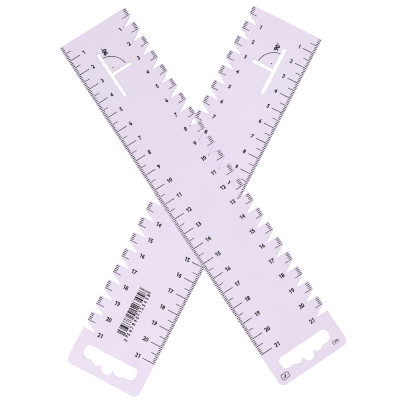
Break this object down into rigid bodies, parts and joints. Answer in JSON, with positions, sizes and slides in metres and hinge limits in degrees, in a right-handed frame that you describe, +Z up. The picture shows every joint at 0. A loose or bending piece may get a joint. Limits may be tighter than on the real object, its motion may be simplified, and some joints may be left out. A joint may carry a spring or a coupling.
{
  "type": "sewing gauge ruler pair",
  "caption": "Two flat notched sewing gauge rulers lying crossed, one face up and one face down, each with a centimetre edge scale, T-shaped slot and scalloped hanging slot.",
  "frame": {"origin": "centre of the crossed pair's outline, on the flat surface that the lower ruler lies on", "axes": "+Y along the pair's longest extent, towards both zero ends; +Z up out of the surface, through the two sheets; +X to the right when both zero ends point away"},
  "size_m": [0.163, 0.2248, 0.0023],
  "materials": {
    "lilac_plastic": "satin",
    "black_print": "matt printed ink"
  },
  "bodies": {
    "lower_gauge": {"lower_back_angle_arc": "black_print", "lower_back_angle_dot": "black_print", "lower_back_edge_scale": "black_print", "lower_sheet": "lilac_plastic"},
    "upper_gauge": {"upper_back_angle_arc": "black_print", "upper_back_angle_dot": "black_print", "upper_back_edge_scale": "black_print", "upper_front_angle_arc": "black_print", "upper_front_angle_dot": "black_print", "upper_front_badge_frame": "black_print", "upper_front_edge_scale": "black_print", "upper_sheet": "lilac_plastic"}
  },
  "joints": [
    {"name": "upper_gauge_lift", "type": "slide", "parent": "lower_gauge", "child": "upper_gauge", "axis": [0, 0, 1], "range_m": [0, 0.05]}
  ]
}
